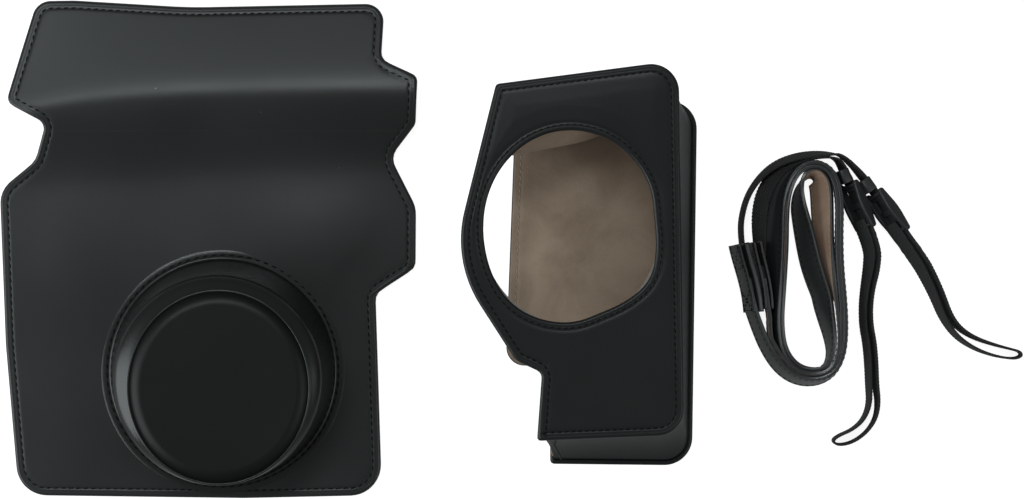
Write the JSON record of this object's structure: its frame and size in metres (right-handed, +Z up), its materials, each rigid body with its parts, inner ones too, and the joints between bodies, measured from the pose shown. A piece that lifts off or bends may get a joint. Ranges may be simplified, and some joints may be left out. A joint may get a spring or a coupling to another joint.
{
  "type": "camera ever ready case",
  "caption": "Leather ever ready case laid out flat: folding front cover with a lens cup, open half case and a rolled neck strap.",
  "frame": {"origin": "middle of the box round the three laid-out pieces, at table height", "axes": "+X along the row from the cover to the strap, +Y towards the cover's rear flap, +Z up from the table"},
  "size_m": [0.5098, 0.2483, 0.054],
  "materials": {
    "black_leather": "semi-matt, fine grain",
    "taupe_suede": "brushed microsuede",
    "grey_board": "pressed fibre board",
    "black_webbing": "woven nylon",
    "black_plastic": "satin moulded",
    "bare_steel": "plain"
  },
  "bodies": {
    "half_case": {"half_front_leather": "black_leather", "half_front_board": "grey_board", "half_front_lining": "taupe_suede", "half_back_leather": "black_leather", "half_back_board": "grey_board", "half_back_lining": "taupe_suede", "half_back_plates": "bare_steel", "half_gusset_leather": "black_leather", "half_gusset_lining": "taupe_suede"},
    "cover_front": {"cover_front_leather": "black_leather", "cover_front_board": "grey_board", "cover_front_lining": "taupe_suede", "lens_cup_wall": "black_leather", "lens_cup_wall_lining": "taupe_suede", "lens_cup_face": "black_leather", "lens_cup_face_board": "grey_board", "lens_cup_face_lining": "taupe_suede"},
    "cover_top": {"cover_top_leather": "black_leather", "cover_top_board": "grey_board", "cover_top_lining": "taupe_suede"},
    "cover_flap": {"cover_flap_leather": "black_leather", "cover_flap_board": "grey_board", "cover_flap_lining": "taupe_suede", "cover_flap_magnets": "bare_steel"},
    "strap": {"strap_leather": "black_leather", "strap_lining": "taupe_suede", "strap_tab_1": "black_leather", "strap_tab_2": "black_leather", "webbing_1": "black_webbing", "webbing_2": "black_webbing"},
    "slider_1": {"slider_1": "black_plastic"},
    "slider_2": {"slider_2": "black_plastic"},
    "keeper_1": {"keeper_1": "black_plastic"},
    "keeper_2": {"keeper_2": "black_plastic"}
  },
  "joints": [
    {"name": "cover_lift", "type": "slide", "parent": "half_case", "child": "cover_front", "axis": [0, 0, 1], "range_m": [0, 0.12]},
    {"name": "cover_front_fold", "type": "hinge", "parent": "cover_front", "child": "cover_top", "pos_m": [-0.12, 0.042, 0], "axis": [-1, 0, 0], "range_deg": [-4, 110]},
    {"name": "cover_rear_fold", "type": "hinge", "parent": "cover_top", "child": "cover_flap", "pos_m": [-0.12, 0.077, 0.013], "axis": [-1, 0, 0], "range_deg": [-36, 60]},
    {"name": "strap_lift", "type": "slide", "parent": "half_case", "child": "strap", "axis": [0, 0, 1], "range_m": [0, 0.08]},
    {"name": "slider_1_slide", "type": "slide", "parent": "strap", "child": "slider_1", "axis": [0.58, -0.8146, 0], "range_m": [0, 0.006]},
    {"name": "keeper_1_slide", "type": "slide", "parent": "strap", "child": "keeper_1", "axis": [0.58, -0.8146, 0], "range_m": [-0.006, 0]},
    {"name": "slider_2_slide", "type": "slide", "parent": "strap", "child": "slider_2", "axis": [0.3817, -0.9243, 0], "range_m": [0, 0.002]},
    {"name": "keeper_2_slide", "type": "slide", "parent": "strap", "child": "keeper_2", "axis": [0.3817, -0.9243, 0], "range_m": [-0.001, 0]}
  ]
}
